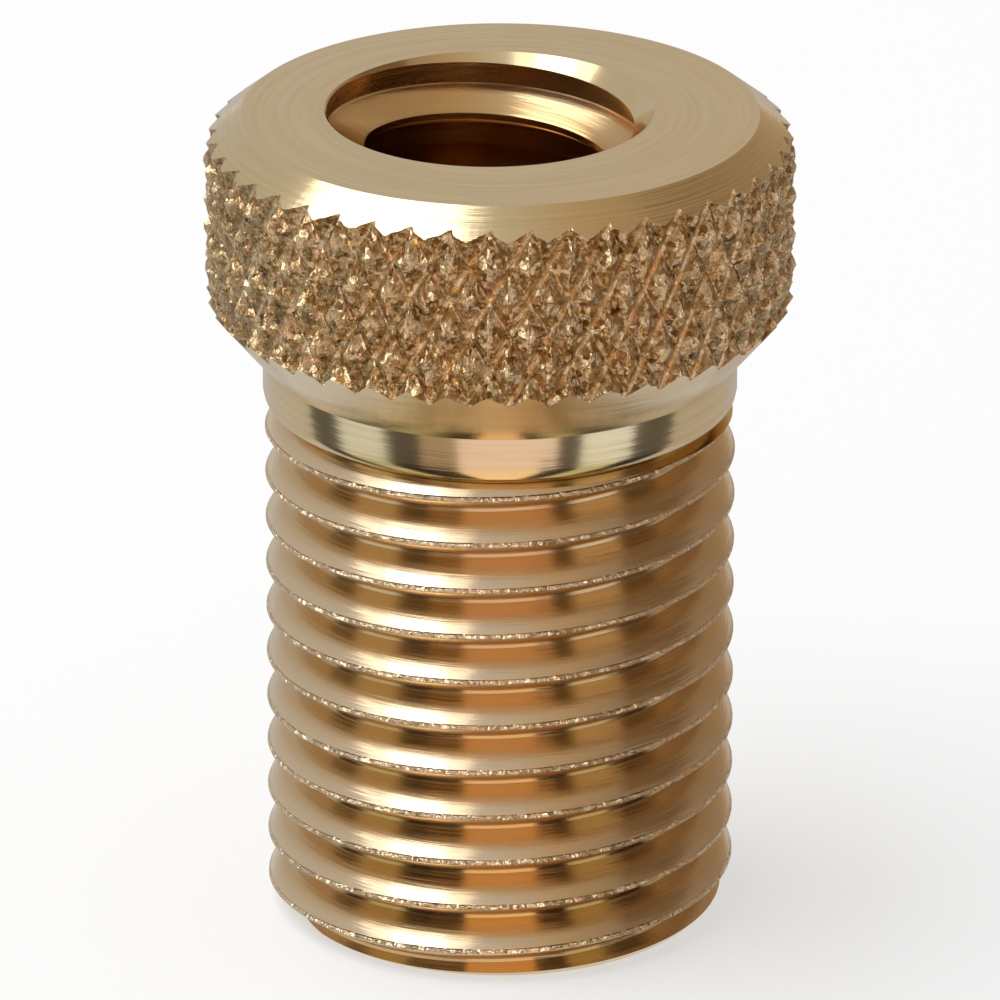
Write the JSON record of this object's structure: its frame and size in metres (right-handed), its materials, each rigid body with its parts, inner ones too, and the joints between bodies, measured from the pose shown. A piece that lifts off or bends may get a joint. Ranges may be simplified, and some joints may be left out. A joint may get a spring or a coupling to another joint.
{
  "type": "thread adapter",
  "caption": "Turned brass tyre-valve thread adapter: a knurled head with an inside thread, on a stem with a wider outside thread.",
  "frame": {"origin": "centre of the flat end of the stem, which the adapter stands on", "axes": "+Z along the thread axis, from the end of the stem to the face of the knurled head; X and Y are equivalent"},
  "size_m": [0.0096, 0.0096, 0.0137],
  "materials": {
    "brass": "bright machined brass, slightly pale, with a knurled band"
  },
  "bodies": {
    "root": {"adapter_body": "brass"}
  },
  "joints": []
}
